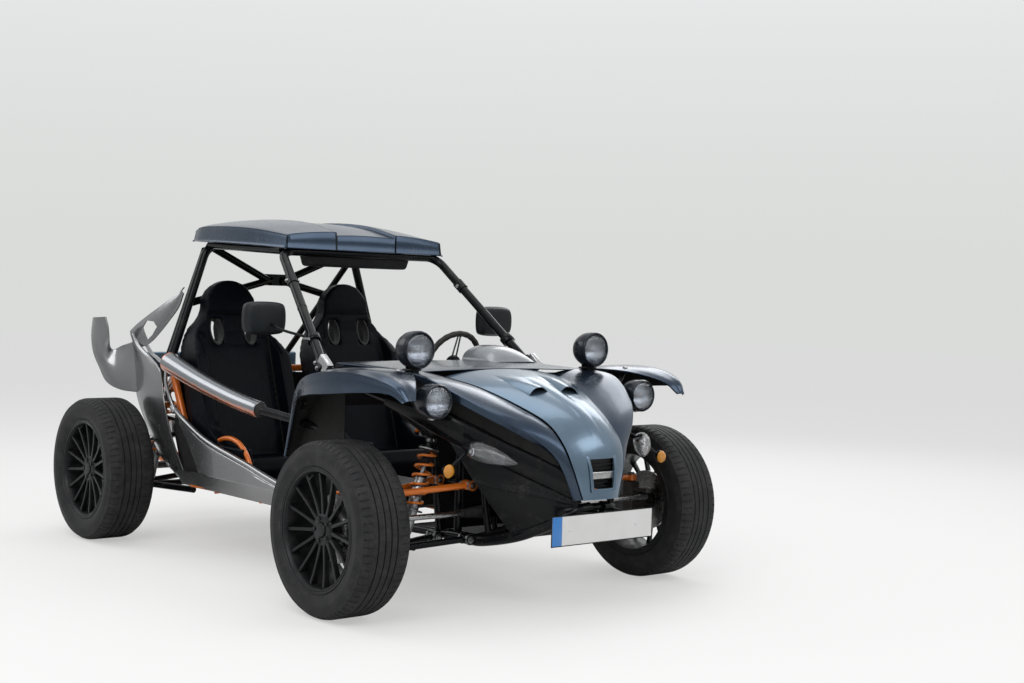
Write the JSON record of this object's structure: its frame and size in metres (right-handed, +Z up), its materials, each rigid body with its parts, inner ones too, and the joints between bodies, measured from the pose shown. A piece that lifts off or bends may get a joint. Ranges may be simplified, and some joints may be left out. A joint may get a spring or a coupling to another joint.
{
  "type": "dune buggy",
  "caption": "Light road-going dune buggy with tube frame, roll cage, hard roof, open wheels on wishbones and bucket seats.",
  "frame": {"origin": "on the ground at the centre of the vehicle's bounding box", "axes": "+Z up, -Y towards the nose, +X to the vehicle's left"},
  "size_m": [1.828, 3.144, 1.5356],
  "materials": {
    "tyre": "road tread",
    "rim_paint": "black satin",
    "frame_paint": "black gloss powder coat",
    "frame_orange": "orange powder coat",
    "spring_orange": "orange powder coat",
    "dark_gloss": "dark anthracite gloss",
    "silver_paint": "silver metallic paint",
    "matte_black": "black grained",
    "seat_shell": "black moulded",
    "lamp_black": "black housing",
    "lamp_clear": "clear lens",
    "plate": "light grey, blank",
    "steel": "bare steel",
    "cast": "cast"
  },
  "bodies": {
    "chassis": {"bonnet": "silver_paint", "cage_front": "frame_paint", "cage_rear": "frame_paint", "engine_block": "cast", "exhaust": "steel", "floor_pan": "matte_black", "frame_floor": "frame_orange", "frame_front": "frame_paint", "frame_nose": "frame_paint", "frame_rear": "frame_orange", "front_fenders": "dark_gloss", "front_lower_arms": "frame_paint", "front_shocks": "spring_orange", "front_upper_arms": "frame_orange", "head_lamps": "lamp_black", "mirrors": "matte_black", "nose_grille": "matte_black", "number_plate": "plate", "overhead_console": "matte_black", "rack_housing": "frame_paint", "rear_arms": "frame_paint", "rear_quarters": "silver_paint", "rear_shocks": "spring_orange", "roof_panel": "dark_gloss", "running_lamps": "lamp_clear", "scuttle": "dark_gloss", "seats": "seat_shell", "side_bars": "silver_paint", "sill_panels": "silver_paint", "spot_lamps": "lamp_black", "tail_panel": "silver_paint"},
    "knuckle_left": {"knuckle_left": "cast"},
    "knuckle_right": {"knuckle_right": "cast"},
    "rack": {"rack_bar": "steel"},
    "steering": {"steering_wheel": "matte_black"},
    "wheel_front_left": {"tyre_front_left": "tyre", "rim_front_left": "rim_paint"},
    "wheel_front_right": {"tyre_front_right": "tyre", "rim_front_right": "rim_paint"},
    "wheel_rear_left": {"tyre_rear_left": "tyre", "rim_rear_left": "rim_paint"},
    "wheel_rear_right": {"tyre_rear_right": "tyre", "rim_rear_right": "rim_paint"}
  },
  "joints": [
    {"name": "steer_left", "type": "hinge", "parent": "chassis", "child": "knuckle_left", "pos_m": [0.712, -1, 0.328], "axis": [0, 0, 1], "range_deg": [-30, 30]},
    {"name": "spin_front_left", "type": "hinge", "parent": "knuckle_left", "child": "wheel_front_left", "pos_m": [0.805, -1, 0.328], "axis": [1, 0, 0], "continuous": true},
    {"name": "spin_rear_left", "type": "hinge", "parent": "chassis", "child": "wheel_rear_left", "pos_m": [0.774, 1.046, 0.333], "axis": [1, 0, 0], "continuous": true},
    {"name": "steer_right", "type": "hinge", "parent": "chassis", "child": "knuckle_right", "pos_m": [-0.712, -1, 0.328], "axis": [0, 0, 1], "range_deg": [-30, 30]},
    {"name": "spin_front_right", "type": "hinge", "parent": "knuckle_right", "child": "wheel_front_right", "pos_m": [-0.805, -1, 0.328], "axis": [1, 0, 0], "continuous": true},
    {"name": "spin_rear_right", "type": "hinge", "parent": "chassis", "child": "wheel_rear_right", "pos_m": [-0.774, 1.046, 0.333], "axis": [1, 0, 0], "continuous": true},
    {"name": "rack_slide", "type": "slide", "parent": "chassis", "child": "rack", "axis": [1, 0, 0], "range_m": [-0.055, 0.055]},
    {"name": "steering_turn", "type": "hinge", "parent": "chassis", "child": "steering", "pos_m": [0.3, -0.24, 0.895], "axis": [0, 0.9397, 0.342], "range_deg": [-301, 301]}
  ],
  "couplings": [
    {"joint": "steer_right", "follows": "steer_left", "ratio": 1},
    {"joint": "rack_slide", "follows": "steer_left", "m_per_rad": 0.105},
    {"joint": "steering_turn", "follows": "steer_left", "ratio": 10}
  ]
}
